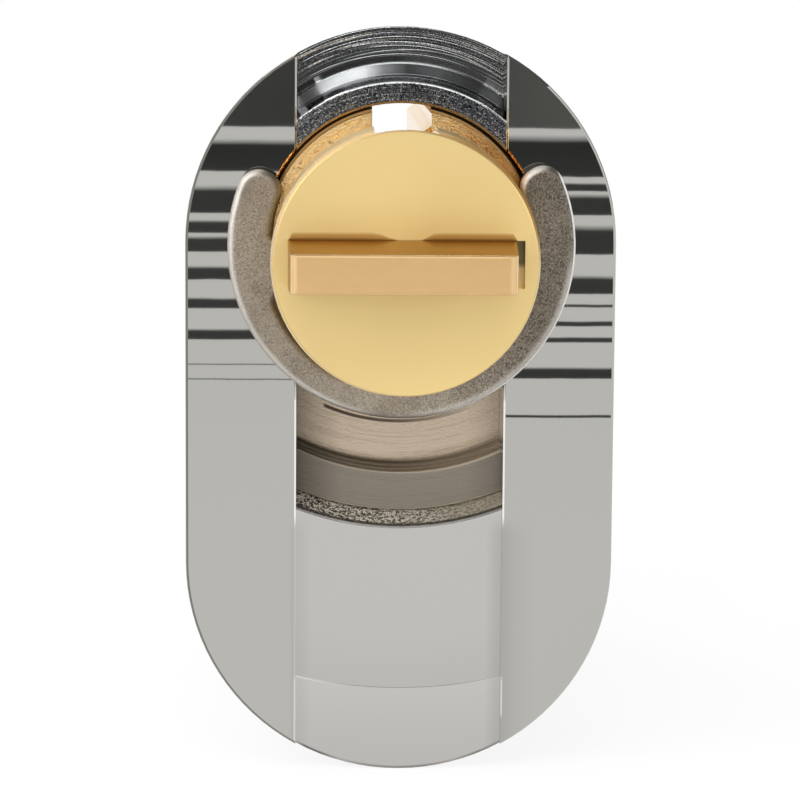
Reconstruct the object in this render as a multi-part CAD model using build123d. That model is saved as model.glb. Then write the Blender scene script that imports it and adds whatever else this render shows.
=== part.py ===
from build123d import *
import math
import os

# Oval profile cylinder lock. Millimetres, +Z up. The origin is on the plug's axis, in the
# plane of the rear face. The key goes in at the front, +Y. The tail stands out at -Y.
# The pins work below the plug, towards -Z.

# Oval body
profile_width = 19.0
arc_spacing = 14.3
body_length = 30.5
front_edge_round = 0.4
rear_edge_round = 0.12

# Plug and the bore that it turns in
barrel_radius = 6.1
bore_clearance = 0.05
bore_rim_chamfer = 0.1
head_radius = 7.0
head_seat_radius = 7.05
head_seat_depth = 1.5
head_end_play = 0.03
shoulder_proud = 0.1
shoulder_radius = 5.9
shoulder_length = 1.2

# Tail end of the plug, and the disc that closes it
neck_radius = 4.95
neck_length = 4.8
spigot_radius = 5.5
spigot_end = 9.3
disc_radius = 5.38
disc_thickness = 0.9
disc_edge = 0.05
stub_radius = 1.0
stub_length = 3.0
stub_end_gap = 0.1

# Drive bar, seated in a slot of the disc, with a gap at its right end
bar_length = 4.6
bar_width = 9.2
bar_height = 1.95
bar_shift = -0.165
bar_taper_deg = 2.4
bar_edge = 0.05
bar_seat_depth = 0.6
bar_end_gap = 0.365

# Keyway: an open slot at the top of the plug, with warded steps below it
keyway_width = 2.6
side_ward_top = 5.18
side_ward_foot = 4.9
side_ward_depth = 0.4
slot_floor = 1.3
first_ward_z = -0.4
keyway_floor = -3.5
ward_depth = 0.9
warded_end = 1.6

# Band milled over the whole height of the rear face, and the cam recess in it
band_width = 9.2
band_depth = 0.35
boss_radius = 7.08
boss_side = ((7.38, 2.17), (7.9, 3.26))
boss_foot_radius = 8.15
inner_floor_depth = 3.5
step_radius = 10.5
step_ledge = 0.14
step_ledge_depth = 2.6
outer_floor_depth = 1.7
outer_wall_foot = 12.2
outer_wall_top = 12.75
land_step_radius = 20.1
land_step_depth = 0.41

# Pin chambers
pin_count = 5
pin_pitch = 3.96
rear_chamber_y = 8.66
chamber_radius = 1.45
plug_chamber_top = 0.9
pin_radius = 1.4
pin_point_radius = 0.35
pin_cone_height = 1.05
pin_end_radius = 0.7
pin_end_dome = 0.18
key_pin_foot = -6.05
key_pin_lengths = (4.4, 5.3, 4.0, 4.9, 3.7)
driver_top = -6.2
driver_length = 6.0
driver_edge = 0.2
cap_top = -20.9

# Springs
spring_radius = 1.12
spring_wire = 0.17
spring_turns = 8
spring_gap = 0.02

# Clip
clip_outer_radius = 7.59
clip_seat_radius = 5.0
clip_relief_radius = 5.88
clip_relief_drop = 0.43
clip_prong_radius = 5.65
clip_prong_start_deg = 4.0
clip_thickness = 1.5
clip_gap = 0.05
clip_tip_deg = 29.7
clip_grip_end_deg = -20.5
clip_turn_deg = 1.1
clip_foot_half_deg = 20.0
clip_tip_round = 0.9
clip_corner_round = 0.45
clip_prong_corner_round = 0.4
clip_prong_root_round = 0.2
clip_edge_round = 0.35

# Cross hole for the fixing screw
screw_hole_radius = 2.5
screw_hole_y = 3.9
screw_hole_z = -17.5

# Cutting shapes run this far past what they cut
past = 1.0

half_width = profile_width / 2
bore_radius = barrel_radius + bore_clearance
body_foot = -arc_spacing - half_width
disc_end = spigot_end + disc_thickness
stub_end = stub_length - spigot_end


def rear_plane(y=0.0):
    """Plane across the plug's axis: local x is X, local y is Z, and the normal points to the rear."""
    return Plane(origin=(0, y, 0), x_dir=(1, 0, 0), z_dir=(0, -1, 0))


def disc(radius, y_rear, y_front):
    """Cylinder about the plug's axis between two places along it."""
    return extrude(rear_plane(y_front) * Circle(radius), y_front - y_rear)


def turned(points):
    """Solid of revolution about the plug's axis. Each point is (radius, place along Y)."""
    outline = Plane.XY * make_face(Polyline(*points, close=True))
    return revolve(outline, Axis.Y)


def upright(radius, z_low, z_high, y):
    """Upright cylinder on the middle plane."""
    return Pos(0, y, z_low) * extrude(Circle(radius), z_high - z_low)


def block(x_low, x_high, y_low, y_high, z_low, z_high):
    size = (x_high - x_low, y_high - y_low, z_high - z_low)
    return Pos(x_low, y_low, z_low) * Box(*size, align=(Align.MIN, Align.MIN, Align.MIN))


def chamber_places():
    return [rear_chamber_y + index * pin_pitch for index in range(pin_count)]


def oval_bar():
    """Plain bar of the oval section, from the rear face to the front face."""
    oval = Pos(0, -arc_spacing / 2) * SlotCenterToCenter(arc_spacing, profile_width, rotation=90)
    return extrude(rear_plane(body_length) * oval, body_length)


def cam_recess():
    """Stepped ring about the boss, in which the cam of the lock case turns."""
    ring = turned(
        [
            (boss_radius, -past),
            (boss_radius, band_depth),
            *boss_side,
            (boss_foot_radius, inner_floor_depth),
            (step_radius - step_ledge, inner_floor_depth),
            (step_radius - step_ledge, step_ledge_depth),
            (step_radius, step_ledge_depth),
            (step_radius, outer_floor_depth),
            (outer_wall_foot, outer_floor_depth),
            (outer_wall_top, band_depth),
            (outer_wall_top, -past),
        ]
    )
    return ring & band_block(-past, inner_floor_depth + past)


def band_block(y_low, y_high):
    """Block as wide as the band, longer than the oval is high."""
    return block(-band_width / 2, band_width / 2, y_low, y_high, body_foot - past, half_width + past)


def make_body():
    body = oval_bar()
    body = fillet(body.faces().sort_by(Axis.Y)[-1].edges(), front_edge_round)
    body = chamfer(body.faces().sort_by(Axis.Y)[0].edges(), rear_edge_round)
    body -= band_block(-past, band_depth)
    upper_land = disc(outer_wall_top, -2 * past, land_step_depth + past)
    lower_land = disc(land_step_radius, -past, land_step_depth) - upper_land
    body -= lower_land & band_block(-past, past)
    body -= cam_recess()
    body -= disc(bore_radius, -past, body_length + past)
    body -= disc(head_seat_radius, body_length - head_seat_depth, body_length + past)
    body -= turned(
        [
            (0.0, -past),
            (bore_radius + bore_rim_chamfer, -past),
            (bore_radius + bore_rim_chamfer, 0.0),
            (bore_radius, bore_rim_chamfer),
            (0.0, bore_rim_chamfer),
        ]
    )
    for place in chamber_places():
        body -= upright(chamber_radius, body_foot - past, 0.0, place)
    screw_hole = Plane.YZ.offset(-profile_width) * Pos(screw_hole_y, screw_hole_z) * Circle(screw_hole_radius)
    body -= extrude(screw_hole, 2 * profile_width)
    return body


def keyway():
    """Slot for the key: it runs out at both ends and at the plug's rim, and is stepped to each side below."""
    half = keyway_width / 2
    front = body_length + past
    slot = Polyline(
        (-half, slot_floor),
        (half - side_ward_depth, slot_floor),
        (half - side_ward_depth, side_ward_foot),
        (half, side_ward_top),
        (half, head_radius + past),
        (-half, head_radius + past),
        close=True,
    )
    upper = extrude(rear_plane(front) * make_face(slot), front + spigot_end + past)
    middle = block(-half, half - ward_depth, warded_end, front, first_ward_z, slot_floor)
    lower = block(-half + ward_depth, half, warded_end, front, keyway_floor, first_ward_z)
    return upper + middle + lower


def make_plug():
    seat_face = body_length - head_seat_depth + head_end_play
    neck_end = -shoulder_proud - neck_length
    plug = turned(
        [
            (0.0, body_length),
            (head_radius, body_length),
            (head_radius, seat_face),
            (barrel_radius, seat_face),
            (barrel_radius, shoulder_length - shoulder_proud),
            (shoulder_radius, shoulder_length - shoulder_proud),
            (shoulder_radius, -shoulder_proud),
            (neck_radius, -shoulder_proud),
            (neck_radius, neck_end),
            (spigot_radius, neck_end),
            (spigot_radius, -spigot_end),
            (0.0, -spigot_end),
        ]
    )
    plug -= keyway()
    plug -= disc(stub_radius, -spigot_end - past, stub_end + stub_end_gap)
    for place in chamber_places():
        plug -= upright(chamber_radius, -barrel_radius - past, plug_chamber_top, place)
    return plug


def tail_disc():
    """Disc on the end of the plug, held by the stub on its front side and slotted for the drive bar."""
    tail = turned(
        [
            (0.0, -disc_end),
            (disc_radius - disc_edge, -disc_end),
            (disc_radius, -disc_end + disc_edge),
            (disc_radius, -spigot_end),
            (stub_radius, -spigot_end),
            (stub_radius, stub_end),
            (0.0, stub_end),
        ]
    )
    left = bar_shift - bar_width / 2
    right = bar_shift + bar_width / 2 + bar_end_gap
    slot = block(left, right, -disc_end - past, -disc_end + bar_seat_depth, -bar_height / 2, bar_height / 2)
    return tail - slot


def drive_bar():
    """Flat bar in the slot of the disc, slightly tapered beyond it, with broken edges at its end."""
    section = rear_plane(-disc_end) * Pos(bar_shift, 0) * Rectangle(bar_width, bar_height)
    bar = extrude(section, bar_length, taper=bar_taper_deg)
    end_face = bar.faces().sort_by(Axis.Y)[0]
    return chamfer(end_face.edges(), bar_edge) + extrude(section, -bar_seat_depth)


def key_pin(index):
    """Pointed pin. Its domed foot is at the shear line, as the right key holds it."""
    place = chamber_places()[index]
    top = key_pin_foot + key_pin_lengths[index]
    outline = Polyline(
        (0, key_pin_foot),
        (pin_end_radius, key_pin_foot),
        (pin_radius, key_pin_foot + pin_end_dome),
        (pin_radius, top - pin_cone_height),
        (pin_point_radius, top),
        (0, top),
        close=True,
    )
    return Pos(0, place, 0) * revolve(Plane.XZ * make_face(outline), Axis.Z)


def driver_pin(index):
    """Flat-ended pin with broken edges, just below the shear line."""
    pin = upright(pin_radius, driver_top - driver_length, driver_top, chamber_places()[index])
    return chamfer(pin.edges().filter_by(GeomType.CIRCLE), driver_edge)


def pin_spring(index):
    """Helical spring between the cap and the driver pin."""
    low = cap_top + spring_wire + spring_gap
    high = driver_top - driver_length - spring_wire - spring_gap
    path = Helix(pitch=(high - low) / spring_turns, height=high - low, radius=spring_radius)
    section = Plane(origin=path @ 0, z_dir=path % 0) * Circle(spring_wire)
    return Pos(0, chamber_places()[index], low) * sweep(section, path=path, is_frenet=True)


def chamber_cap(index):
    """Plug pressed into the mouth of a chamber, dressed flush with the oval."""
    cap = upright(chamber_radius, body_foot - past, cap_top, chamber_places()[index])
    return cap & oval_bar()


def sector(radius, start_deg, end_deg):
    """Pie-shaped face about the axis."""
    middle_deg = (start_deg + end_deg) / 2
    corners = [(0, 0)]
    for angle in (start_deg, middle_deg, end_deg):
        reach = radius * math.cos(math.radians((end_deg - start_deg) / 4)) ** -1
        corners.append((reach * math.cos(math.radians(angle)), reach * math.sin(math.radians(angle))))
    return make_face(Polyline(*corners, close=True))


def clip_face():
    """C shape: two gripping prongs, eased at their tips, a relieved contour below and a seat at the bottom."""
    ring = Circle(clip_outer_radius) - Circle(clip_seat_radius)
    relief = Pos(0, -clip_relief_drop) * Circle(clip_relief_radius)
    foot_right = -90 + clip_foot_half_deg
    relief_right = relief & sector(clip_outer_radius + 2, foot_right, clip_grip_end_deg)
    relief_left = mirror(relief_right, Plane.YZ)
    mouth = sector(clip_outer_radius + 2, clip_tip_deg, 180 - clip_tip_deg)
    face = ring - relief_right - relief_left - mouth - prong_easing()
    face = fillet([corner for corner in face.vertices() if near(lean(corner), clip_tip_deg)], clip_tip_round)
    inner = [corner for corner in face.vertices() if near(reach(corner), clip_seat_radius)]
    face = fillet([corner for corner in inner if lean(corner) > 0], clip_prong_corner_round)
    steps = [corner for corner in face.vertices() if lean(corner) < clip_grip_end_deg + 1.0]
    return fillet(steps, clip_corner_round)


def lean(corner):
    """Angle of a corner of the clip above the horizontal, in degrees, the same on both sides."""
    return math.degrees(math.atan2(corner.Y, abs(corner.X)))


def reach(corner):
    """Distance of a corner of the clip from the axis."""
    return math.hypot(corner.X, corner.Y)


def near(value, target):
    return abs(value - target) < 0.1


def prong_easing():
    """Pie-shaped face, with its two outer corners rounded, that eases the inner side of both prongs."""
    pie = Circle(clip_prong_radius) & sector(clip_outer_radius + 2, clip_prong_start_deg, 180 - clip_prong_start_deg)
    rim = [corner for corner in pie.vertices() if near(reach(corner), clip_prong_radius)]
    return fillet(rim, clip_prong_root_round)


def make_clip():
    face = clip_face()
    clip = extrude(rear_plane(-shoulder_proud - clip_gap) * Rot(0, 0, clip_turn_deg) * face, clip_thickness)
    rims = clip.edges().group_by(Axis.Y)
    return fillet(rims[0] + rims[-1], clip_edge_round)


def main():
    pieces = {
        "body": make_body(),
        "plug": make_plug(),
        "tail_disc": tail_disc(),
        "drive_bar": drive_bar(),
        "retaining_clip": make_clip(),
    }
    for index in range(pin_count):
        number = index + 1
        pieces[f"key_pin_{number}"] = key_pin(index)
        pieces[f"driver_pin_{number}"] = driver_pin(index)
        pieces[f"spring_{number}"] = pin_spring(index)
        pieces[f"chamber_cap_{number}"] = chamber_cap(index)
    os.makedirs("parts", exist_ok=True)
    for name, piece in pieces.items():
        export_step(piece, f"parts/{name}.step")


main()
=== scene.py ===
import math

import bpy
from mathutils import Matrix, Vector


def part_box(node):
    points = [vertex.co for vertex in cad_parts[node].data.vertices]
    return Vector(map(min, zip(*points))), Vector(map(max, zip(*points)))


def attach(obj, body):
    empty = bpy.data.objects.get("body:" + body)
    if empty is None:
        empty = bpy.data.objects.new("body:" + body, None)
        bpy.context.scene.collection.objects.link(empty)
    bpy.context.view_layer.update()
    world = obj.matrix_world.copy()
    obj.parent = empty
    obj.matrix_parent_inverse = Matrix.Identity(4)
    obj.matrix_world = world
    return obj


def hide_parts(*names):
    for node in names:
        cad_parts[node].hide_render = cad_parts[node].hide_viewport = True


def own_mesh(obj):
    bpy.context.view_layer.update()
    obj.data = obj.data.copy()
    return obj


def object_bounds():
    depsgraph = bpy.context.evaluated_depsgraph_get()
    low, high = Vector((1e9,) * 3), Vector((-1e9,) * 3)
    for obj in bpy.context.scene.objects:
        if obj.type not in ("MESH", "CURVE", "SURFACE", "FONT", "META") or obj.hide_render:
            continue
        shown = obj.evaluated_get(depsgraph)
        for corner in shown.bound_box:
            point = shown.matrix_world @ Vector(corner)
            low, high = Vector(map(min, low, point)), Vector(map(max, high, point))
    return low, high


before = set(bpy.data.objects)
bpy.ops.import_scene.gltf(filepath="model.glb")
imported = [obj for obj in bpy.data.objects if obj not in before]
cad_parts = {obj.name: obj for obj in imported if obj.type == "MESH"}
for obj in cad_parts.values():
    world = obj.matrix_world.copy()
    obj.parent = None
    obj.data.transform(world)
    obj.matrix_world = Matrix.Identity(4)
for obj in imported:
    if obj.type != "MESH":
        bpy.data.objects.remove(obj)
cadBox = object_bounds()
mm = 0.001
pinCount = 5
white = (1.0, 1.0, 1.0)
print("stage: frame loaded,", len(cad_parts), "nodes")


# Darker or brighter copy of a colour
def toned(colour, share):
    return tuple(share * part for part in colour)


# One material under construction: a Principled shader and the nodes that feed it.
# x, y, z and the radius about the plug's axis are in millimetres.
class Finish:
    def __init__(self, name, metallic=1.0):
        self.material = bpy.data.materials.new(name)
        self.material.use_nodes = True
        self.tree = self.material.node_tree
        self.tree.nodes.clear()
        output = self.add("ShaderNodeOutputMaterial")
        self.shader = self.add("ShaderNodeBsdfPrincipled")
        self.shader.inputs["Metallic"].default_value = metallic
        self.tree.links.new(self.shader.outputs[0], output.inputs["Surface"])
        coords = self.add("ShaderNodeTexCoord")
        self.normal = coords.outputs["Normal"]
        self.place = self.product(coords.outputs["Object"], (1 / mm, 1 / mm, 1 / mm))
        self.x, self.y, self.z = self.parts(self.place)
        self.radius = self.length(self.x, self.z)

    def add(self, kind):
        return self.tree.nodes.new(kind)

    # A socket is linked, a number or colour is set
    def feed(self, socket, value):
        if isinstance(value, bpy.types.NodeSocket):
            self.tree.links.new(value, socket)
        else:
            socket.default_value = value

    def feedColour(self, socket, value):
        self.feed(socket, (*value, 1.0) if isinstance(value, tuple) else value)

    def calc(self, operation, *values):
        node = self.add("ShaderNodeMath")
        node.operation = operation
        for socket, value in zip(node.inputs, values):
            self.feed(socket, value)
        return node.outputs[0]

    def chain(self, operation, values):
        result = values[0]
        for value in values[1:]:
            result = self.calc(operation, result, value)
        return result

    # Product of numbers, and the place where all of several masks hold
    def times(self, *values):
        return self.chain("MULTIPLY", values)

    def plus(self, *values):
        return self.chain("ADD", values)

    def length(self, first, second):
        return self.calc("SQRT", self.plus(self.times(first, first), self.times(second, second)))

    # Product of two colours or vectors, part by part
    def product(self, first, second):
        node = self.add("ShaderNodeVectorMath")
        node.operation = "MULTIPLY"
        self.feed(node.inputs[0], first)
        self.feed(node.inputs[1], second)
        return node.outputs[0]

    def parts(self, vector):
        node = self.add("ShaderNodeSeparateXYZ")
        self.feed(node.inputs[0], vector)
        return node.outputs

    def join(self, x, y, z):
        node = self.add("ShaderNodeCombineXYZ")
        for socket, value in zip(node.inputs, (x, y, z)):
            self.feed(socket, value)
        return node.outputs[0]

    # Smooth step from 0 to 1 about an edge
    def step(self, value, edge, soft=0.04):
        node = self.add("ShaderNodeMapRange")
        node.interpolation_type = "SMOOTHSTEP"
        self.feed(node.inputs["Value"], value)
        node.inputs["From Min"].default_value = edge - soft / 2
        node.inputs["From Max"].default_value = edge + soft / 2
        return node.outputs[0]

    def opposite(self, mask):
        return self.calc("SUBTRACT", 1.0, mask)

    # Smooth step from 1 to 0 about an edge
    def under(self, value, edge, soft=0.04):
        return self.opposite(self.step(value, edge, soft))

    # 1 between two edges, 0 outside them
    def between(self, value, low, high, soft=0.04):
        return self.calc("SUBTRACT", self.step(value, low, soft), self.step(value, high, soft))

    def noise(self, vector, scale, detail=2.0, rough=0.5):
        node = self.add("ShaderNodeTexNoise")
        self.feed(node.inputs["Vector"], vector)
        node.inputs["Scale"].default_value = scale
        node.inputs["Detail"].default_value = detail
        node.inputs["Roughness"].default_value = rough
        return node.outputs[0]

    # Colours or grey values along a measured length in millimetres
    def along(self, value, stops):
        low, high = stops[0][0], stops[-1][0]
        fit = self.add("ShaderNodeMapRange")
        self.feed(fit.inputs["Value"], value)
        fit.inputs["From Min"].default_value = low
        fit.inputs["From Max"].default_value = high
        node = self.add("ShaderNodeValToRGB")
        ramp = node.color_ramp
        ramp.interpolation = "LINEAR"
        while len(ramp.elements) < len(stops):
            ramp.elements.new(0.5)
        for element, (at, tone) in zip(ramp.elements, stops):
            element.position = (at - low) / (high - low)
            element.color = (*tone, 1.0) if isinstance(tone, tuple) else (tone, tone, tone, 1.0)
        self.feed(node.inputs[0], fit.outputs[0])
        return node.outputs[0]

    def mix(self, share, first, second):
        node = self.add("ShaderNodeMix")
        node.data_type = "RGBA"
        self.feed(node.inputs[0], share)
        self.feedColour(node.inputs[6], first)
        self.feedColour(node.inputs[7], second)
        return node.outputs[2]

    # A colour multiplied by a shade where a mask holds
    def shaded(self, mask, colour, shade):
        return self.mix(mask, colour, self.product(colour, shade))

    def blendValue(self, share, first, second):
        node = self.add("ShaderNodeMix")
        self.feed(node.inputs[0], share)
        self.feed(node.inputs[2], first)
        self.feed(node.inputs[3], second)
        return node.outputs[0]

    # Height in millimetres
    def bump(self, height):
        node = self.add("ShaderNodeBump")
        node.inputs["Distance"].default_value = mm
        self.feed(node.inputs["Height"], height)
        self.tree.links.new(node.outputs[0], self.shader.inputs["Normal"])

    # Gloss drawn out across the turned lines about the plug's axis
    def turned(self, amount):
        node = self.add("ShaderNodeTangent")
        node.direction_type = "RADIAL"
        node.axis = "Y"
        self.tree.links.new(node.outputs[0], self.shader.inputs["Tangent"])
        self.shader.inputs["Anisotropic"].default_value = amount
        self.shader.inputs["Anisotropic Rotation"].default_value = 0.25

    def paint(self, colour, roughness):
        self.feedColour(self.shader.inputs["Base Color"], colour)
        self.feed(self.shader.inputs["Roughness"], roughness)


# Coordinates that make a noise run in rings about the plug's axis
def ringCoordinates(finish, linesPerMm, wander):
    safe = finish.calc("MAXIMUM", finish.radius, 0.01)
    side = finish.times(finish.calc("DIVIDE", finish.x, safe), wander)
    up = finish.times(finish.calc("DIVIDE", finish.z, safe), wander)
    return finish.join(finish.times(finish.radius, linesPerMm), side, up)


# In each list, the first number of a stop is a place in millimetres, the second its tone or share
chromeLook = {
    "plate": (0.462, 0.457, 0.43),
    "plateRoughness": 0.012,
    "waviness": 0.0003,
    "bandHalfWidth": 4.6,
    "edgeWidth": 0.09,
    "edgeFall": 0.07,
    "rimFall": 0.013,
    "ringLines": 5.5,
    "lowerLines": 0.16,
    "upperLines": 8.5,
    "upperDepth": 0.008,
    "floorLines": 0.7,
    "bossLines": 0.2,
    "arcRoughness": 0.3,
    # Several of these colours are painted light and shade: the shade in the gap about the plug, the bright turned
    # lines, the clip's shadow, the highlights on the ledge, the step and the band's edges, the glints and foot shade
    # of the recess wall, and the shade on the oval's foot and edge
    "rimBrass": (0.72, 0.42, 0.16),
    "gap": (0.05, 0.025, 0.01),
    "upperLine": (0.56, 0.575, 0.59),
    "pit": (0.05, 0.05, 0.055),
    "clipShadow": (0.05, 0.035, 0.025),
    "ledgeHighlight": (0.50, 0.43, 0.34),
    "wallGlint": (1.0, 0.97, 0.88),
    "wallFootShade": (0.035, 0.03, 0.025),
    "stepHighlight": (0.8, 0.8, 0.78),
    "footEdgeShade": (0.13, 0.12, 0.11),
    "sideHighlight": (0.86, 0.86, 0.84),
    "ovalEdgeShade": (0.11, 0.10, 0.085),
    # Rings of the band below the plug, from the bore's rim to the far end of the oval, in painted tones: a warm
    # reflection on the first ring, shade on the second, and light and dark lines at the ledge, the wall's rim and the
    # step
    "bandTones": [
        (6.0, (0.555, 0.452, 0.342)),
        (10.15, (0.555, 0.452, 0.342)),
        (10.3, (0.26, 0.20, 0.14)),
        (10.36, (0.15, 0.12, 0.085)),
        (10.39, (0.62, 0.53, 0.42)),
        (10.43, (0.16, 0.13, 0.10)),
        (10.48, (0.50, 0.44, 0.35)),
        (10.54, (0.27, 0.235, 0.19)),
        (12.18, (0.25, 0.215, 0.175)),
        (12.2, (0.34, 0.29, 0.21)),
        (12.5, (0.30, 0.26, 0.19)),
        (12.72, (0.12, 0.10, 0.07)),
        (12.76, (0.85, 0.85, 0.85)),
        (12.82, (0.515, 0.501, 0.48)),
        (17.5, (0.51, 0.497, 0.477)),
        (20.0, (0.485, 0.472, 0.452)),
        (20.08, (0.475, 0.462, 0.443)),
        (20.12, (0.54, 0.526, 0.505)),
        (22.0, (0.51, 0.497, 0.477)),
        (24.0, (0.49, 0.477, 0.457)),
    ],
    "bandRoughness": [
        (6.0, 0.07), (8.1, 0.07), (8.2, 0.14), (10.4, 0.14), (10.5, 0.22), (12.19, 0.22), (12.2, 0.4),
        (12.76, 0.4), (12.8, 0.08), (24.0, 0.08),
    ],
    # The boss, the arc on its side and the floor above it, in painted dark reflections with painted highlights on the
    # boss's rim and on the arc
    "upperTones": [
        (6.0, (0.20, 0.21, 0.225)),
        (7.0, (0.20, 0.21, 0.225)),
        (7.02, (1.0, 1.0, 1.0)),
        (7.1, (1.0, 1.0, 1.0)),
        (7.12, (0.11, 0.11, 0.13)),
        (7.36, (0.14, 0.14, 0.16)),
        (7.4, (1.0, 1.0, 1.0)),
        (7.93, (1.0, 1.0, 1.0)),
        (7.96, (0.3, 0.3, 0.3)),
        (8.13, (0.3, 0.3, 0.3)),
        (8.17, (0.18, 0.19, 0.195)),
        (9.6, (0.18, 0.19, 0.195)),
    ],
    "grainShare": [(6.0, 0.95), (7.04, 0.95), (7.06, 0.0), (8.35, 0.0), (8.7, 0.7), (11.0, 0.55)],
    # From the band's left edge to its right edge
    "arcShade": [(-4.6, 1.0), (-2.5, 1.0), (-1.7, 1.0), (-0.8, 0.35), (0.3, 0.12), (1.6, 0.20), (4.6, 0.32)],
    "endShade": [(-4.6, 0.42), (-4.0, 0.55), (-2.6, 0.95), (-1.5, 1.0), (3.0, 1.0), (4.6, 0.72)],
    "clipShadowShare": [(-3.45, 0.0), (-3.35, 0.97), (0.0, 0.85), (2.4, 0.4), (3.6, 0.0)],
    "ledgeShare": [(-4.6, 0.0), (-0.5, 0.0), (2.0, 0.35), (4.6, 0.6)],
    # Painted shade along the recess wall, darkest at the left
    "wallShadeTones": [
        (-4.6, (0.05, 0.04, 0.03)), (-2.0, (0.10, 0.08, 0.055)), (1.0, (0.22, 0.19, 0.14)),
        (4.6, (0.56, 0.50, 0.40)),
    ],
    "wallGlintShare": [(-4.6, 1.0), (0.0, 1.0), (2.0, 0.7), (4.6, 0.4)],
    "stepShare": [(-4.6, 0.7), (-3.6, 0.55), (-2.0, 0.0), (2.6, 0.0), (4.0, 0.25), (4.6, 0.25)],
    "footShare": [
        (-4.6, 0.2), (-4.2, 0.95), (-3.4, 0.9), (-2.6, 0.25), (-1.4, 0.6), (1.0, 0.7), (2.4, 0.35),
        (3.6, 0.75), (4.6, 0.5),
    ],
    # Across the whole oval
    "sideShade": [
        (-9.5, 1.0), (-4.9, 1.0), (-4.7, 0.92), (-4.45, 0.92), (-3.9, 1.0), (3.9, 1.0), (4.4, 0.86),
        (4.65, 0.84), (5.2, 0.94), (6.2, 1.0), (9.5, 1.0),
    ],
    # Painted highlights on the band's two long edges, from the oval's foot upwards
    "leftHighlight": [
        (-24.0, 0.5), (-19.7, 0.5), (-19.4, 0.18), (-12.7, 0.18), (-12.2, 1.0), (-6.4, 1.0), (-6.2, 0.0),
    ],
    "rightHighlight": [
        (-24.0, 0.0), (-21.4, 0.0), (-21.2, 0.5), (-19.7, 0.5), (-19.4, 0.0), (-12.7, 0.0), (-12.2, 1.0),
        (-6.4, 1.0), (-6.2, 0.0),
    ],
    # Depths of the turned lines and of the cast grain, by radius
    "lineDepth": [
        (6.0, 0.008), (10.36, 0.008), (10.4, 0.02), (10.5, 0.006), (12.18, 0.006), (12.2, 0.0), (12.8, 0.0),
        (12.85, 0.0004), (24.0, 0.0004),
    ],
    "grainDepth": [
        (6.0, 0.008), (8.2, 0.008), (10.3, 0.006), (12.18, 0.006), (12.22, 0.2), (12.74, 0.2), (12.8, 0.0),
        (24.0, 0.0),
    ],
    "upperGrain": [(6.0, 0.0016), (7.04, 0.0016), (7.1, 0.0004), (8.15, 0.0004), (8.2, 0.0007), (9.6, 0.0007)],
}


# Masks and tones that several parts of the body's finish share
def chromeZones(finish):
    look = chromeLook
    distance = finish.calc("ABSOLUTE", finish.x)
    onFloor = finish.step(finish.radius, 8.2)
    onBoss = finish.under(finish.radius, 7.0)
    return {
        "distance": distance,
        "inBand": finish.times(
            finish.under(distance, look["bandHalfWidth"], 0.02),
            finish.step(finish.y, 0.2, 0.1),
            finish.under(finish.y, 3.8, 0.2),
        ),
        "above": finish.times(finish.step(finish.z, 2.0, 4.0), finish.under(finish.radius, 12.0, 1.0)),
        "onArc": finish.between(finish.radius, 7.39, 7.83, 0.02),
        "arcShade": finish.along(finish.x, look["arcShade"]),
        "upperRings": finish.noise(ringCoordinates(finish, look["upperLines"], 0.7), 1.0, 1.5, 0.6),
        "lineShare": finish.plus(finish.times(onFloor, look["floorLines"]), finish.times(onBoss, look["bossLines"])),
    }


# Above the boss: painted highlights and dark reflections, painted shade along the arc, and turned lines painted
# bright as they catch the light
def upperBandTone(finish, zones):
    look = chromeLook
    tone = finish.along(finish.radius, look["upperTones"])
    tone = finish.shaded(zones["onArc"], tone, zones["arcShade"])
    lines = finish.times(finish.between(zones["upperRings"], 0.5, 0.56), zones["lineShare"])
    return finish.mix(lines, tone, look["upperLine"])


# Cast grain on the recess wall, coarse at the left and painted as bright glints, over painted shade that is darkest
# at the left and at the wall's foot
def recessWallTone(finish):
    look = chromeLook
    tone = finish.along(finish.x, look["wallShadeTones"])
    wallGlint = finish.step(finish.noise(finish.place, 7.5, 2.0, 0.8), 0.5, 0.05)
    tone = finish.mix(finish.times(wallGlint, finish.along(finish.x, look["wallGlintShare"])), tone, look["wallGlint"])
    return finish.mix(finish.times(finish.step(finish.radius, 12.64, 0.05), 0.85), tone, look["wallFootShade"])


def bandTone(finish, zones):
    look = chromeLook
    above = zones["above"]
    tone = finish.along(finish.radius, look["bandTones"])
    tone = finish.mix(above, tone, upperBandTone(finish, zones))
    # Painted sparkle and dark pits of the cast grain, dense on the boss and thinner on the floor about it
    onGrain = finish.along(finish.radius, look["grainShare"])
    sparkle = finish.step(finish.noise(finish.place, 12.0, 2.0, 0.8), 0.57, 0.05)
    tone = finish.mix(finish.times(sparkle, above, onGrain), tone, white)
    pits = finish.step(finish.noise(finish.place, 10.0, 2.0, 0.8), 0.56, 0.05)
    tone = finish.mix(finish.times(pits, above, onGrain), tone, look["pit"])
    # Shade at the ends of the lower rings, and the dark line beside the clip
    below = finish.times(finish.under(finish.z, 0.0, 1.0), finish.under(finish.radius, 12.2))
    tone = finish.shaded(below, tone, finish.along(finish.x, look["endShade"]))
    besideClip = finish.between(finish.radius, 8.35, 8.5, 0.05)
    besideClip = finish.times(finish.along(finish.x, look["clipShadowShare"]), below, besideClip)
    tone = finish.mix(besideClip, tone, look["clipShadow"])
    # Painted highlight on the ledge between the two lower rings, stronger at the right
    onLedge = finish.times(finish.between(finish.radius, 10.22, 10.6, 0.04), below)
    tone = finish.mix(finish.times(onLedge, finish.along(finish.x, look["ledgeShare"])), tone, look["ledgeHighlight"])
    onWall = finish.times(finish.between(finish.radius, 12.2, 12.72, 0.03), finish.opposite(above))
    return finish.mix(onWall, tone, recessWallTone(finish))


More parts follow.
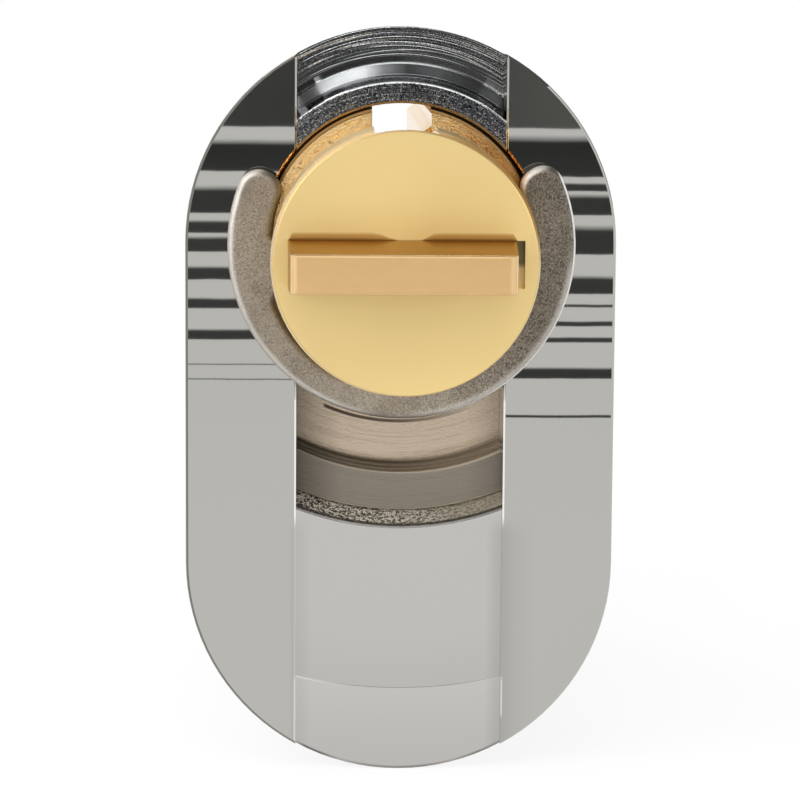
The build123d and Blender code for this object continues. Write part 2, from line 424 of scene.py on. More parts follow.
def chromeColour(finish, zones):
    look = chromeLook
    inBand = zones["inBand"]
    colour = finish.mix(inBand, look["plate"], bandTone(finish, zones))
    # Painted shade on the lower land along the band's sides, a painted highlight on the step line and painted shade
    # at the oval's rounded foot
    lowLand = finish.times(finish.under(finish.z, -12.6, 1.2), finish.under(finish.y, 0.5, 0.1))
    colour = finish.shaded(lowLand, colour, finish.along(finish.x, look["sideShade"]))
    onStep = finish.times(finish.between(finish.radius, 20.07, 20.13, 0.02), lowLand, inBand)
    colour = finish.mix(finish.times(onStep, finish.along(finish.x, look["stepShare"])), colour, look["stepHighlight"])
    lowRadius = finish.length(finish.x, finish.plus(finish.z, 14.3))
    onFoot = finish.times(finish.step(lowRadius, 9.4, 0.1), finish.step(finish.y, 0.2, 0.1), lowLand)
    colour = finish.mix(finish.times(onFoot, finish.along(finish.x, look["footShare"])), colour, look["footEdgeShade"])
    # Painted highlights on the band's two long edges
    halfWidth = look["bandHalfWidth"]
    onSideHighlight = finish.between(zones["distance"], halfWidth, halfWidth + 0.08, 0.02)
    onSideHighlight = finish.times(onSideHighlight, finish.under(finish.y, 0.1, 0.02))
    sideShare = finish.mix(finish.step(finish.x, 0.0, 1.0), finish.along(finish.z, look["leftHighlight"]),
                           finish.along(finish.z, look["rightHighlight"]))
    colour = finish.mix(finish.times(onSideHighlight, sideShare), colour, look["sideHighlight"])
    # Painted shade in the narrow space about the plug, and the bore's rim where the plating ends
    inGap = finish.times(finish.under(finish.radius, 6.17, 0.02), finish.under(finish.y, 1.5, 0.5))
    colour = finish.mix(inGap, colour, look["gap"])
    onRim = finish.times(finish.under(finish.radius, 6.25, 0.02), finish.under(finish.y, 0.4, 0.02))
    colour = finish.mix(onRim, colour, look["rimBrass"])
    # Painted shade on the oval's rounded edge at the left
    onEdge = finish.times(
        finish.between(finish.y, 0.004, 0.13, 0.008),
        finish.opposite(inBand),
        finish.step(finish.radius, 6.4, 0.1),
        finish.under(finish.x, -1.0, 2.0),
        0.75,
    )
    return finish.mix(onEdge, colour, look["ovalEdgeShade"])


# Turned lines in the band, grain on the recess wall, faint waves in the plate
def chromeHeight(finish, zones):
    look = chromeLook
    rings = finish.noise(ringCoordinates(finish, look["ringLines"], 0.8), 1.0, 4.0, 0.75)
    lines = finish.plus(finish.times(rings, 0.4), finish.step(rings, 0.58, 0.1))
    turned = finish.times(lines, finish.along(finish.radius, look["lineDepth"]), look["lowerLines"])
    grain = finish.noise(finish.place, 11.0, 3.0, 0.75)
    lowerHeight = finish.plus(turned, finish.times(grain, finish.along(finish.radius, look["grainDepth"])))
    upperLines = finish.times(finish.step(zones["upperRings"], 0.53, 0.07), zones["lineShare"])
    upperHeight = finish.plus(finish.times(upperLines, look["upperDepth"]),
                              finish.times(grain, finish.along(finish.radius, look["upperGrain"])))
    # The boss's rim falls away
    atRim = finish.times(finish.step(finish.radius, 7.045, 0.07), finish.under(finish.y, 0.42, 0.06))
    upperHeight = finish.calc("SUBTRACT", upperHeight, finish.times(atRim, look["rimFall"]))
    bandHeight = finish.times(finish.blendValue(zones["above"], lowerHeight, upperHeight), zones["inBand"])
    # So do the plate's edges along the band, which catch the light
    edge = finish.step(zones["distance"], look["bandHalfWidth"] + look["edgeWidth"] / 2, look["edgeWidth"])
    edgeHeight = finish.times(edge, finish.under(finish.y, 0.1, 0.02), look["edgeFall"])
    waves = finish.times(finish.noise(finish.place, 0.45, 1.0), look["waviness"])
    return finish.plus(waves, edgeHeight, bandHeight)


def chromeBody():
    look = chromeLook
    finish = Finish("chromeBody")
    zones = chromeZones(finish)
    onUpperArc = finish.times(zones["onArc"], zones["above"])
    roughness = finish.along(finish.radius, look["bandRoughness"])
    roughness = finish.blendValue(onUpperArc, roughness, look["arcRoughness"])
    roughness = finish.blendValue(zones["inBand"], look["plateRoughness"], roughness)
    # The arc's painted shade also dims its gloss
    arcTint = finish.mix(finish.times(onUpperArc, zones["inBand"]), white, zones["arcShade"])
    finish.feed(finish.shader.inputs["Specular Tint"], arcTint)
    finish.bump(chromeHeight(finish, zones))
    finish.paint(chromeColour(finish, zones), roughness)
    return finish.material


plugLook = {
    # The shoulder's colour carries painted light: bright at the left, shaded at the right
    "shoulderShadeTones": [
        (-6.0, (1.0, 0.78, 0.42)), (1.0, (1.0, 0.78, 0.42)), (4.0, (0.56, 0.30, 0.10)), (6.0, (0.56, 0.30, 0.10)),
    ],
    "shoulderRoughness": 0.22,
    "speck": (0.22, 0.10, 0.03),
    "pitDepth": 0.035,
    "gap": (0.035, 0.018, 0.007),
    "spigotSheen": (1.0, 0.84, 0.56),
    "spigotRimHighlight": [
        (-5.5, (1.0, 0.88, 0.66)), (0.0, (1.0, 0.84, 0.58)), (2.5, (0.62, 0.40, 0.16)), (5.5, (0.55, 0.34, 0.13)),
    ],
    "turnedSide": (0.80, 0.56, 0.27),
    "turnedRoughness": 0.3,
    "lineDepth": 0.006,
    "plated": (0.60, 0.59, 0.57),
    "slotRoughness": 0.06,
    "tint": (0.95, 0.74, 0.42, 1.0),
}


def brassPlug():
    look = plugLook
    finish = Finish("brassPlug")
    onShoulder = finish.times(finish.step(finish.y, -2.0, 0.2), finish.under(finish.y, 0.35, 0.1))
    inSlot = finish.times(
        finish.under(finish.calc("ABSOLUTE", finish.x), 1.305, 0.006),
        finish.under(finish.radius, 5.85, 0.02),
    )
    # Painted light on the shoulder, bright at the left and shaded at the right
    shoulder = finish.along(finish.x, look["shoulderShadeTones"])
    specks = finish.step(finish.noise(finish.place, 4.5, 2.0, 0.6), 0.64, 0.06)
    shoulder = finish.mix(finish.times(specks, 0.55), shoulder, look["speck"])
    # The spigot's side is painted paler, as a sheen
    onSpigot = finish.under(finish.y, -4.8, 0.1)
    colour = finish.mix(onSpigot, look["turnedSide"], look["spigotSheen"])
    colour = finish.mix(onShoulder, colour, shoulder)
    # Painted shade in the narrow space between the plug and the bore
    inGap = finish.times(finish.between(finish.y, 0.3, 1.3, 0.2), finish.step(finish.radius, 6.0, 0.03))
    colour = finish.mix(inGap, colour, look["gap"])
    # Painted highlight on the spigot's rim at the upper left, fading to the right
    onSpigotRim = finish.times(
        finish.under(finish.y, -9.2, 0.1),
        finish.step(finish.radius, 5.3, 0.1),
        finish.step(finish.z, 0.5, 2.0),
    )
    colour = finish.mix(onSpigotRim, colour, finish.along(finish.x, look["spigotRimHighlight"]))
    colour = finish.mix(finish.step(finish.y, 28.9, 0.1), colour, look["plated"])
    roughness = finish.blendValue(onShoulder, look["turnedRoughness"], look["shoulderRoughness"])
    roughness = finish.blendValue(inSlot, roughness, look["slotRoughness"])
    # Pits on the shoulder and fine turned lines everywhere but in the slot
    outsideSlot = finish.opposite(inSlot)
    pitDepth = finish.times(onShoulder, outsideSlot, look["pitDepth"])
    pits = finish.times(finish.noise(finish.place, 5.0, 3.0, 0.7), pitDepth)
    lineCoordinates = finish.join(finish.times(finish.y, 7.0), finish.times(finish.radius, 9.0), 0.0)
    lineDepth = finish.times(outsideSlot, look["lineDepth"])
    lines = finish.times(finish.noise(lineCoordinates, 1.0, 2.0, 0.6), lineDepth)
    finish.bump(finish.plus(pits, lines))
    finish.shader.inputs["Specular Tint"].default_value = look["tint"]
    finish.paint(colour, roughness)
    return finish.material


discLook = {
    "tone": (1.0, 0.765, 0.35),
    "rim": (0.62, 0.43, 0.18),
    "roughness": 0.46,
    "anisotropy": 0.3,
    "ringLines": 12.0,
    "lineDepth": 0.0008,
    "satinDepth": 0.0008,
    "barTop": 0.975,
    "wedgeShade": (0.50, 0.25, 0.05),
    "wedgeFootShade": (0.20, 0.07, 0.012),
    # Height of the painted shade wedges above the bar, gone in its middle
    "wedgeHeights": [
        (-5.0, 0.0), (-4.75, 0.0), (-4.6, 0.33), (-1.4, 0.34), (-1.0, 0.26), (-0.7, 0.12), (-0.3, 0.0),
        (0.6, 0.0), (0.85, 0.14), (1.1, 0.3), (1.5, 0.34), (4.3, 0.33), (4.5, 0.0), (6.0, 0.0),
    ],
    "slotShade": (0.30, 0.26, 0.15),
    "slotFoot": (1.0, 0.80, 0.42),
    # Painted shade that evens out the light: darker towards the upper left, where the lamps stand, and away from the
    # bar
    "towardsLamps": [(-7.5, 1.0), (0.0, 0.97), (3.0, 0.935), (7.5, 0.88)],
    "fromBar": [(0.0, 1.0), (1.2, 1.0), (3.6, 0.985), (5.4, 0.965)],
}


def brassTail():
    look = discLook
    finish = Finish("brassTail")
    fromBar = finish.calc("ABSOLUTE", finish.z)
    towardsLamps = finish.calc("SUBTRACT", finish.z, finish.x)
    cloud = finish.noise(finish.place, 0.35, 3.0, 0.6)
    colour = finish.mix(finish.step(cloud, 0.5, 0.5), look["tone"], toned(look["tone"], 0.985))
    # Painted shade towards the lamps and away from the bar
    colour = finish.product(colour, finish.along(towardsLamps, look["towardsLamps"]))
    colour = finish.product(colour, finish.along(fromBar, look["fromBar"]))
    # Painted shade in wedges above the bar, darkest at the bar
    rise = finish.calc("SUBTRACT", finish.z, look["barTop"])
    height = finish.along(finish.x, look["wedgeHeights"])
    share = finish.calc("DIVIDE", rise, finish.calc("MAXIMUM", height, 0.001))
    wedgeShade = finish.times(
        finish.under(share, 0.78, 0.55),
        finish.step(rise, -0.02, 0.02),
        finish.step(height, 0.03, 0.04),
    )
    darkest = finish.times(wedgeShade, finish.under(share, 0.22, 0.4))
    onFace = finish.under(finish.y, -10.12, 0.02)
    colour = finish.mix(finish.times(wedgeShade, onFace, 0.8), colour, look["wedgeShade"])
    colour = finish.mix(finish.times(darkest, onFace, 0.75), colour, look["wedgeFootShade"])
    colour = finish.mix(finish.times(finish.step(finish.radius, 5.33, 0.03), 0.7), colour, look["rim"])
    # Open end of the slot, at the bar's right
    inSlot = finish.times(
        finish.step(finish.x, 4.3, 0.01),
        finish.under(finish.radius, 4.95, 0.02),
        finish.under(fromBar, look["barTop"] + 0.005, 0.01),
        finish.step(finish.y, -10.18, 0.02),
    )
    slotTone = finish.mix(finish.step(finish.z, -0.1, 0.3), look["slotFoot"], look["slotShade"])
    colour = finish.mix(inSlot, colour, slotTone)
    rings = finish.noise(ringCoordinates(finish, look["ringLines"], 1.0), 1.0, 2.0, 0.6)
    satin = finish.noise(finish.place, 22.0, 1.0)
    finish.bump(finish.plus(finish.times(rings, look["lineDepth"]), finish.times(satin, look["satinDepth"])))
    finish.turned(look["anisotropy"])
    finish.paint(colour, look["roughness"])
    return finish.material


barLook = {
    "end": (0.96, 0.635, 0.295),
    # The sides are a painted shaded copy of the end's brass, the root a dark painted shade line, and the pale colour
    # after them is wear and a painted highlight on the end's edges
    "side": (0.51, 0.35, 0.15),
    "root": (0.14, 0.05, 0.012),
    "wearAndHighlight": (1.0, 0.82, 0.58),
    "tint": (0.60, 0.45, 0.27, 1.0),
    "sideRoughness": 0.2,
    "endRoughness": 0.32,
    "endTop": 0.78,
    "endLeft": -4.57,
    "endRight": 4.24,
    "wornFall": 0.03,
    "drawDepth": 0.002,
    "nickDepth": 0.008,
}


def brassBar():
    look = barLook
    finish = Finish("brassBar")
    draw = finish.noise(finish.product(finish.place, (0.4, 3.0, 3.0)), 1.0, 3.0, 0.6)
    onEnd = finish.under(finish.y, -14.76, 0.01)
    face = finish.mix(finish.step(draw, 0.5, 0.6), look["end"], toned(look["end"], 0.96))
    # The sides are painted as a shaded copy of the brass, darkest in a line at the root
    side = finish.mix(finish.step(draw, 0.5, 0.3), look["side"], toned(look["side"], 0.8))
    atRoot = finish.times(finish.between(finish.y, -10.32, -10.19, 0.06), finish.step(finish.z, 0.5, 0.1))
    side = finish.mix(atRoot, side, look["root"])
    colour = finish.mix(onEnd, side, face)
    # Edges of the bar's end painted pale, as wear and as a highlight
    topFall = finish.times(finish.step(finish.z, look["endTop"] - 0.08, 0.13), 0.5)
    leftFall = finish.under(finish.x, look["endLeft"] + 0.17, 0.26)
    rightFall = finish.step(finish.x, look["endRight"] - 0.2, 0.3)
    wearAndHighlight = finish.calc("MAXIMUM", topFall, finish.calc("MAXIMUM", leftFall, rightFall))
    wearAndHighlight = finish.times(wearAndHighlight, onEnd)
    colour = finish.mix(finish.times(wearAndHighlight, 0.25), colour, look["wearAndHighlight"])
    footShade = finish.times(finish.under(finish.z, 0.05 - look["endTop"], 0.08), onEnd, 0.55)
    colour = finish.mix(footShade, colour, look["side"])
    nicks = finish.times(finish.noise(finish.place, 1.4, 3.0, 0.7), look["nickDepth"])
    finish.bump(finish.plus(finish.times(draw, look["drawDepth"]), nicks, finish.times(wearAndHighlight, -look["wornFall"])))
    finish.shader.inputs["Specular Tint"].default_value = look["tint"]
    finish.paint(colour, finish.blendValue(onEnd, look["sideRoughness"], look["endRoughness"]))
    return finish.material


clipLook = {
    "steel": (0.31, 0.265, 0.21),
    "pale": (0.42, 0.365, 0.295),
    "pit": (0.10, 0.088, 0.07),
    "grit": (0.60, 0.56, 0.49),
    # Painted light and shade: a pale highlight for the edges, a dark shade for the sides and a bright line for the
    # outer right edge
    "edgeHighlight": (0.86, 0.82, 0.76),
    "side": (0.10, 0.095, 0.085),
    "sideTint": (0.2, 0.2, 0.2),
    "rightHighlight": (1.0, 0.99, 0.96),
    "roughness": 0.4,
    "grainDepth": 0.034,
    # From left to right, and from the foot upwards
    "coarseShare": [(-7.6, 0.5), (0.0, 0.55), (4.0, 1.0), (7.6, 1.0)],
    "sidewaysShade": [(-7.6, 0.87), (-2.5, 0.87), (0.0, 1.0), (2.0, 1.0), (5.5, 0.64), (7.6, 0.64)],
    "upwardShade": [(-7.6, 1.0), (-5.5, 0.98), (-3.0, 0.86), (1.0, 0.86), (3.0, 0.7), (5.0, 0.64)],
}


def clipSteel():
    look = clipLook
    finish = Finish("clipSteel")
    cloud = finish.noise(finish.place, 0.5, 3.0, 0.6)
    speck = finish.noise(finish.place, 13.0, 3.0, 0.75)
    colour = finish.mix(finish.step(cloud, 0.5, 0.4), look["steel"], look["pale"])
    # Tumbled surface, coarser at the right
    coarse = finish.along(finish.x, look["coarseShare"])
    pitted = finish.times(finish.step(speck, 0.54, 0.06), coarse, 0.85)
    colour = finish.mix(pitted, colour, look["pit"])
    grit = finish.step(finish.noise(finish.place, 11.0, 2.0, 0.8), 0.56, 0.06)
    colour = finish.mix(finish.times(grit, coarse, 0.65), colour, look["grit"])
    # Painted shade: darker to the right and upwards
    colour = finish.product(colour, finish.along(finish.x, look["sidewaysShade"]))
    colour = finish.product(colour, finish.along(finish.z, look["upwardShade"]))
    # Painted highlight on edges that face up and left and on the outer rim at the left and low right; painted shade
    # on edges that face right and on the sides
    facing = finish.parts(finish.normal)
    upLeft = finish.calc("SUBTRACT", finish.times(facing[2], 0.5), finish.times(facing[0], 0.75))
    outerLeft = finish.times(finish.step(finish.radius, 7.36, 0.22), finish.under(finish.x, -2.0, 3.0))
    outerLow = finish.times(
        finish.step(finish.radius, 7.3, 0.3),
        finish.step(finish.x, 1.0, 3.0),
        finish.under(finish.z, -0.6, 2.0),
        0.7,
    )
    edgeHighlightShare = finish.calc("MAXIMUM", finish.step(upLeft, 0.3, 0.4), finish.calc("MAXIMUM", outerLeft, outerLow))
    edgeHighlightShare = finish.times(edgeHighlightShare, finish.under(finish.y, -1.15, 0.2), 0.55)
    rightFacingShade = finish.times(finish.step(facing[0], 0.35, 0.4), finish.under(finish.x, 1.0, 1.0), 0.6)
    onSide = finish.step(finish.y, -1.15, 0.25)
    colour = finish.mix(edgeHighlightShare, colour, look["edgeHighlight"])
    colour = finish.mix(rightFacingShade, colour, look["side"])
    colour = finish.mix(finish.times(onSide, 0.75), colour, look["side"])
    # Painted highlight line along the outer right edge
    rightHighlight = finish.times(
        finish.step(finish.radius, 7.5, 0.05), finish.step(finish.x, 2.0, 1.0), finish.opposite(onSide))
    colour = finish.mix(rightHighlight, colour, look["rightHighlight"])
    finish.bump(finish.times(speck, look["grainDepth"]))
    finish.feed(finish.shader.inputs["Specular Tint"], finish.mix(onSide, white, look["sideTint"]))
    finish.paint(colour, look["roughness"])
    return finish.material


pinLook = {
    "keyPin": (0.80, 0.60, 0.32),
    "driverPin": (0.66, 0.64, 0.59),
    "turnedLines": 8.0,
    "lineDepth": 0.004,
    "roughness": 0.24,
}


# Turned or drawn rod: lines about the pin's own axis and a light patina
def rodFinish(name, tint, linesPerMm):
    finish = Finish(name)
    lines = finish.noise(finish.product(finish.place, (0.5, 0.5, linesPerMm)), 1.0, 2.0, 0.6)
    patina = finish.noise(finish.place, 1.2, 2.0)
    colour = finish.mix(finish.step(patina, 0.5, 0.5), tint, toned(tint, 0.88))
    finish.bump(finish.times(lines, pinLook["lineDepth"]))
    finish.paint(colour, pinLook["roughness"])
    return finish.material


capLook = {
    "bright": (0.72, 0.56, 0.32),
    "rightFacingShade": (0.62, 0.47, 0.25),
    "lineDepth": 0.006,
    "roughness": 0.34,
}


# Chamber caps, dressed flush along the body
def dressedCap():
    look = capLook
    finish = Finish("brassCaps")
    sweep = finish.noise(finish.product(finish.place, (7.0, 0.4, 7.0)), 1.0, 2.0, 0.6)
    colour = finish.mix(finish.step(sweep, 0.5, 0.4), look["bright"], look["rightFacingShade"])
    finish.bump(finish.times(sweep, look["lineDepth"]))
    finish.paint(colour, look["roughness"])
    return finish.material


finishes = {
    "body": chromeBody(),
    "plug": brassPlug(),
    "tail_disc": brassTail(),
    "drive_bar": brassBar(),
    "retaining_clip": clipSteel(),
}
keyPinBrass = rodFinish("brassPins", pinLook["keyPin"], pinLook["turnedLines"])
driverNickel = rodFinish("nickelPins", pinLook["driverPin"], pinLook["turnedLines"])
capBrass = dressedCap()
for number in range(1, pinCount + 1):
    finishes[f"key_pin_{number}"] = keyPinBrass
    finishes[f"driver_pin_{number}"] = driverNickel
    finishes[f"chamber_cap_{number}"] = capBrass
for name, material in finishes.items():
    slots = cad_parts[name].data.materials
    slots.clear()
    slots.append(material)
print("stage: finishes on the solid pieces")


# New piece in the scene, corners in metres
def meshPiece(name, corners, faces, material):
    mesh = bpy.data.meshes.new(name)
    mesh.from_pydata(corners, [], faces)
    mesh.materials.append(material)
    piece = bpy.data.objects.new(name, mesh)
    bpy.context.scene.collection.objects.link(piece)
    return piece


springLook = {
    "coilRadius": 1.12,
    "wireRadius": 0.16,
    "turns": 8,
    "closedTurns": 1.0,
    "closedPitch": 2.15,     # rise of a closed turn, in wire radii
    "stepsPerTurn": 28,
    "wireSides": 10,
    "keep": 0.62,
    "tint": (0.52, 0.52, 0.53),
    "drawnLines": 3.0,
}


# Share of the coil's height at a turn: flat first and last turns, an even pitch between
def springRise(turn, closedShare):
    turns, closed = springLook["turns"], springLook["closedTurns"]
    if turn < closed:
        return closedShare * turn / closed
    if turn > turns - closed:
        return 1 - closedShare * (turns - turn) / closed
    return closedShare + (1 - 2 * closedShare) * (turn - closed) / (turns - 2 * closed)


def pinSpring(number, material):
    look = springLook
    low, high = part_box(f"spring_{number}")
    centre = (low + high) / 2
    wire = look["wireRadius"] * mm
    coil = look["coilRadius"] * mm
    foot, top = low.z + wire, high.z - wire
    closedShare = look["closedPitch"] * wire / (top - foot)
    steps = look["turns"] * look["stepsPerTurn"]
    sides = look["wireSides"]
    corners = []
    for step in range(steps + 1):
        turn = step / look["stepsPerTurn"]
        angle = 2 * math.pi * turn
        outward = Vector((math.cos(angle), math.sin(angle), 0))
        rise = springRise(turn, closedShare)
        middle = Vector((centre.x, centre.y, foot + rise * (top - foot))) + outward * coil
        for side in range(sides):
            around = 2 * math.pi * side / sides
            corner = middle + outward * math.cos(around) * wire + Vector((0, 0, math.sin(around) * wire))
            corners.append(tuple(corner))
    faces = []
    for step in range(steps):
        first, second = step * sides, (step + 1) * sides
        for side in range(sides):
            nextSide = (side + 1) % sides
            faces.append((first + side, first + nextSide, second + nextSide, second + side))
    faces.append(tuple(reversed(range(sides))))
    faces.append(tuple(range(steps * sides, steps * sides + sides)))
    spring = meshPiece(f"coilSpring{number}", corners, faces, material)
    spring.data.validate()
    spring.data.shade_smooth()
    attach(spring, "body")
    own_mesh(spring)
    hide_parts(f"spring_{number}")


springWire = rodFinish("springWire", springLook["tint"], springLook["drawnLines"])
for number in range(1, pinCount + 1):
    pinSpring(number, springWire)
print("stage: coil springs")


threadLook = {
    "y": 3.9,
    "z": -17.5,
    "root": 2.49,
    "depth": 0.36,
    "pitch": 0.8,
    "inset": 0.35,
    "around": 48,
    "along": 190,
    "archZ": -14.3,          # axis and radius of the oval's lower arch
    "archRadius": 9.5,
}


# Thread in the fixing hole, as a skin just inside the hole's wall that ends short of the oval's sides
def screwThread(material):
    look = threadLook
    corners = []
    for step in range(look["around"]):
        angle = 2 * math.pi * step / look["around"]
        deepest = look["z"] + look["root"] * math.cos(angle) - look["archZ"]
        reach = math.sqrt(look["archRadius"] ** 2 - deepest ** 2) - look["inset"]
        for place in range(look["along"] + 1):
            x = reach * (2 * place / look["along"] - 1)
            phase = (x / look["pitch"] - step / look["around"]) % 1.0
            ridge = min(1.0, max(0.0, 1.5 - abs(4 * phase - 2) * 1.25))
            lead = min(1.0, (reach - abs(x)) / look["pitch"])
            radius = look["root"] - look["depth"] * ridge * lead
            y = look["y"] + radius * math.sin(angle)
            z = look["z"] + radius * math.cos(angle)
            corners.append((x * mm, y * mm, z * mm))
    row = look["along"] + 1
    faces = []
    for step in range(look["around"]):
        first, second = step * row, (step + 1) % look["around"] * row
        for place in range(look["along"]):
            faces.append((first + place, first + place + 1, second + place + 1, second + place))
    thread = meshPiece("screwThread", corners, faces, material)
    thread.data.shade_smooth()
    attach(thread, "body")


screwThread(finishes["body"])
print("stage: thread of the fixing hole")


floorLook = {
    "tone": (0.9, 0.9, 0.9),
    "size": 6.0,
    "whiteShare": 0.86,
    "whiteFrom": (20.0, 120.0),   # millimetres over which the shade fades to white
}
floorZ = cadBox[0].z


# 1 for camera, glossy and transmission rays
def whereSeen(tree):
    path = tree.nodes.new("ShaderNodeLightPath")
    total = path.outputs["Is Camera Ray"]
    for name in ("Is Glossy Ray", "Is Transmission Ray"):
        largest = tree.nodes.new("ShaderNodeMath")
        largest.operation = "MAXIMUM"
        tree.links.new(total, largest.inputs[0])
        tree.links.new(path.outputs[name], largest.inputs[1])
        total = largest.outputs[0]
    return total


# Lit by the lamps, and white to the camera, to mirrors and through glass
def paleFloor():
    look = floorLook
    material = bpy.data.materials.new("paleFloor")
    material.use_nodes = True
    tree = material.node_tree
    tree.nodes.clear()
    output = tree.nodes.new("ShaderNodeOutputMaterial")
    matte = tree.nodes.new("ShaderNodeBsdfDiffuse")
    matte.inputs[0].default_value = (*look["tone"], 1.0)
    glow = tree.nodes.new("ShaderNodeEmission")
    # The lock's shade on the floor fades to plain white away from it
    coords = tree.nodes.new("ShaderNodeTexCoord")
    reach = tree.nodes.new("ShaderNodeVectorMath")
    reach.operation = "LENGTH"
    tree.links.new(coords.outputs["Object"], reach.inputs[0])
    fade = tree.nodes.new("ShaderNodeMapRange")
    tree.links.new(reach.outputs["Value"], fade.inputs["Value"])
    fade.inputs["From Min"].default_value = look["whiteFrom"][0] * mm
    fade.inputs["From Max"].default_value = look["whiteFrom"][1] * mm
    fade.inputs["To Min"].default_value = look["whiteShare"]
    share = tree.nodes.new("ShaderNodeMath")
    share.operation = "MULTIPLY"
    tree.links.new(whereSeen(tree), share.inputs[0])
    tree.links.new(fade.outputs[0], share.inputs[1])
    mix = tree.nodes.new("ShaderNodeMixShader")
    tree.links.new(share.outputs[0], mix.inputs[0])
    tree.links.new(matte.outputs[0], mix.inputs[1])
    tree.links.new(glow.outputs[0], mix.inputs[2])
    tree.links.new(mix.outputs[0], output.inputs[0])
    return material


# Only shiny surfaces see the cloths and cards
def showInGlossOnly(piece):
    piece.visible_camera = False
    piece.visible_diffuse = False
    piece.visible_shadow = False
    piece.visible_transmission = False


half = floorLook["size"] / 2
floorCorners = [(-half, -half, floorZ), (half, -half, floorZ), (half, half, floorZ), (-half, half, floorZ)]
meshPiece("floor", floorCorners, [(0, 1, 2, 3)], paleFloor())


# Corners in metres
clothLook = {
    "left": (0.06, 0.06, 0.059),
    "right": (0.17, 0.17, 0.166),
    "foldShare": 0.5,
    "curtainRadius": 0.71,
    "curtainHeight": 0.11,
    "curtainHalfDeg": 17.0,
    "curtainSides": 24,
    "flat": {
        "backCloth": [(0.02, 0.6, 0.05), (0.8, 0.6, 0.05), (0.8, 0.6, 0.75), (0.02, 0.6, 0.75)],
        "rightCloth": [(0.25, -0.75, 0.22), (0.75, -0.3, 0.22), (0.75, -0.3, 0.8), (0.25, -0.75, 0.8)],
        "overheadCloth": [(-0.4, -0.35, 0.75), (0.8, -0.35, 0.75), (0.8, 0.6, 0.75), (-0.4, 0.6, 0.75)],
    },
}


def darkCloth():
    look = clothLook
    finish = Finish("darkCloth", 0.0)
    folds = finish.noise(finish.place, 0.02, 2.0)
    shade = finish.along(finish.x, [(-60.0, look["left"]), (10.0, look["left"]), (80.0, look["right"])])
    finish.paint(finish.mix(finish.times(folds, look["foldShare"]), shade, look["right"]), 0.9)
    finish.shader.inputs["Specular IOR Level"].default_value = 0.1
    return finish.material


def hangCloth(name, corners, faces, material):
    cloth = meshPiece(name, corners, faces, material)
    showInGlossOnly(cloth)


# A low curved curtain well in front of the lock, and flat cloths behind, beside and above it
def hangCloths():
    look = clothLook
    material = darkCloth()
    sides = look["curtainSides"]
    corners = []
    for side in range(sides + 1):
        angle = -math.pi / 2 + math.radians(look["curtainHalfDeg"]) * (2 * side / sides - 1)
        for height in (floorZ, floorZ + look["curtainHeight"]):
            corners.append((look["curtainRadius"] * math.cos(angle), look["curtainRadius"] * math.sin(angle), height))
    faces = [(2 * side, 2 * side + 2, 2 * side + 3, 2 * side + 1) for side in range(sides)]
    hangCloth("curtain", corners, faces, material)
    for name, corners in look["flat"].items():
        hangCloth(name, corners, [(0, 1, 2, 3)], material)


hangCloths()


# Dark cards laid on the table before the lock, (near, far) in millimetres from the rear face
cardLook = {
    "tone": (0.030, 0.031, 0.031),
    "left": [
        (131.0, 131.7), (141.9, 142.6), (162.4, 171.3), (192.6, 203.2), (227.0, 244.2), (268.3, 293.0),
        (302.0, 326.0), (344.8, 411.7), (471.9, 608.2),
    ],
    "right": [
        (107.7, 109.2), (132.7, 140.2), (161.2, 165.4), (175.9, 180.6), (195.8, 198.8), (211.1, 232.4),
        (266.4, 315.8), (343.9, 393.7), (408.6, 432.5), (456.0, 639.0),
    ],
    "leftReach": (-4.0, -62.0),
    "rightReach": (8.0, 92.0),
    "lift": 0.04,
    "fullUntil": 0.88,       # shares of a card's width between which its far edge fades away
    "goneAt": 1.14,
}


def fadingCard(name, reach, near, far, material):
    width = far - near
    rows = [(near, 1.0), (near + cardLook["fullUntil"] * width, 1.0), (near + cardLook["goneAt"] * width, 0.0)]
    height = floorZ + cardLook["lift"] * mm
    corners = [(x * mm, -place * mm, height) for place, _ in rows for x in reach]
    card = meshPiece(name, corners, [(0, 1, 3, 2), (2, 3, 5, 4)], material)
    shade = card.data.attributes.new("shade", "FLOAT", "POINT")
    for index, (_, value) in enumerate(rows):
        shade.data[2 * index].value = value
        shade.data[2 * index + 1].value = value
    showInGlossOnly(card)


def cardMaterial():
    material = bpy.data.materials.new("darkCard")
    material.use_nodes = True
    tree = material.node_tree
    shader = tree.nodes["Principled BSDF"]
    shader.inputs["Base Color"].default_value = (*cardLook["tone"], 1.0)
    shader.inputs["Roughness"].default_value = 0.9
    shader.inputs["Specular IOR Level"].default_value = 0.1
    shade = tree.nodes.new("ShaderNodeAttribute")
    shade.attribute_name = "shade"
    tree.links.new(shade.outputs["Fac"], shader.inputs["Alpha"])
    return material


cardBlack = cardMaterial()
for side in ("left", "right"):
    for index, (near, far) in enumerate(cardLook[side]):
        fadingCard(f"card_{side}_{index}", cardLook[side + "Reach"], near, far, cardBlack)
print("stage: floor, cloths and cards")


# Place in metres, size in metres and watts
lampLook = {
    "leftSoftbox": ((-0.42, -0.30, 0.26), 0.30, 1.6),
    "rightSoftbox": ((0.48, -0.18, 0.22), 0.22, 0.5),
    "backLeftSoftbox": ((-0.30, 0.42, 0.45), 0.22, 0.8),
    "frontTopSoftbox": ((-0.05, -0.38, 0.48), 0.40, 1.6),
}
worldLevel = 0.7


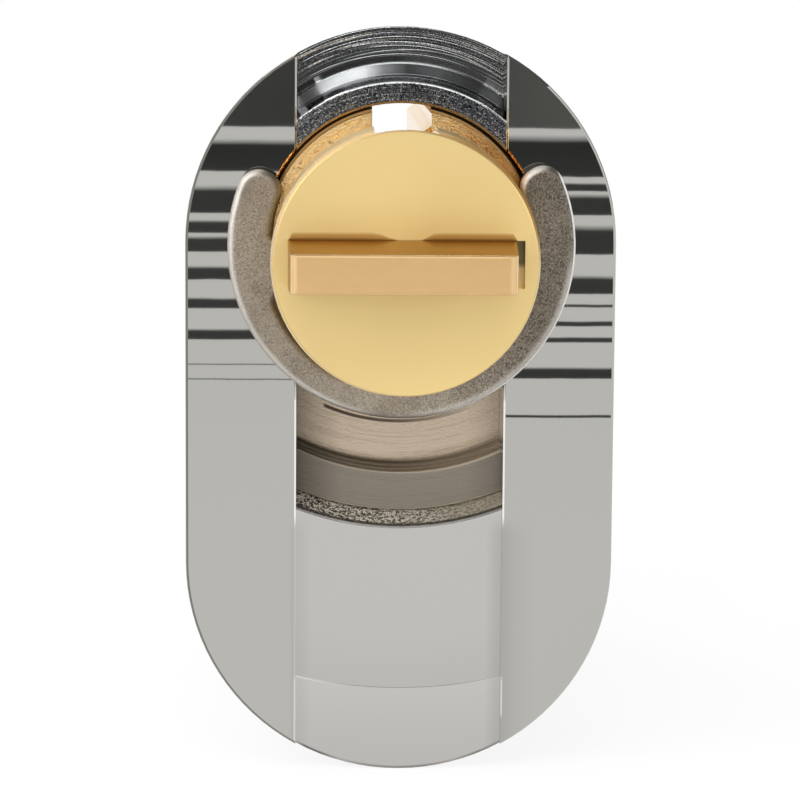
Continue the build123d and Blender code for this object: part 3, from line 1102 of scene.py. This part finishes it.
def softLamp(name, place, aim, size, watts):
    data = bpy.data.lights.new(name, "AREA")
    data.shape = "SQUARE"
    data.size = size
    data.energy = watts
    lamp = bpy.data.objects.new(name, data)
    lamp.location = place
    lamp.rotation_mode = "QUATERNION"
    lamp.rotation_quaternion = (aim - Vector(place)).to_track_quat("-Z", "Y")
    bpy.context.scene.collection.objects.link(lamp)


# White to the camera, to mirrors and through glass, and dimmer as a light
def paleRoom():
    world = bpy.data.worlds.new("paleRoom")
    world.use_nodes = True
    bpy.context.scene.world = world
    tree = world.node_tree
    background = tree.nodes["Background"]
    background.inputs["Color"].default_value = (*white, 1.0)
    level = tree.nodes.new("ShaderNodeMapRange")
    tree.links.new(whereSeen(tree), level.inputs["Value"])
    level.inputs["To Min"].default_value = worldLevel
    level.inputs["To Max"].default_value = 1.0
    tree.links.new(level.outputs[0], background.inputs["Strength"])


heart = (cadBox[0] + cadBox[1]) / 2
for name, (place, size, watts) in lampLook.items():
    softLamp(name, place, heart, size, watts)
paleRoom()
print("stage: lamps and world")


# Place in millimetres, angles in degrees
cameraLook = {
    "place": (-2.471, -118.596, 9.916),
    "pitch": 6.404,
    "yaw": 1.182,
    "roll": 0.393,
    "lens": 121.562,
    "shiftY": -0.1,
}


def makeCamera():
    look = cameraLook
    pitch, yaw, roll = (math.radians(look[name]) for name in ("pitch", "yaw", "roll"))
    ahead = Vector((math.sin(yaw) * math.cos(pitch), math.cos(yaw) * math.cos(pitch), -math.sin(pitch)))
    level = Vector((math.cos(yaw), -math.sin(yaw), 0))
    upright = level.cross(ahead)
    right = level * math.cos(roll) + upright * math.sin(roll)
    up = upright * math.cos(roll) - level * math.sin(roll)
    data = bpy.data.cameras.new("camera")
    data.sensor_width = 36.0
    data.lens = look["lens"]
    data.shift_y = look["shiftY"]
    data.clip_start = 0.001
    data.clip_end = 50.0
    camera = bpy.data.objects.new("camera", data)
    turn = Matrix((right, up, -ahead)).transposed().to_4x4()
    camera.matrix_world = Matrix.Translation(Vector(look["place"]) * mm) @ turn
    bpy.context.scene.collection.objects.link(camera)
    bpy.context.scene.camera = camera


makeCamera()
bpy.context.scene.view_settings.view_transform = "Standard"
print("stage: camera")
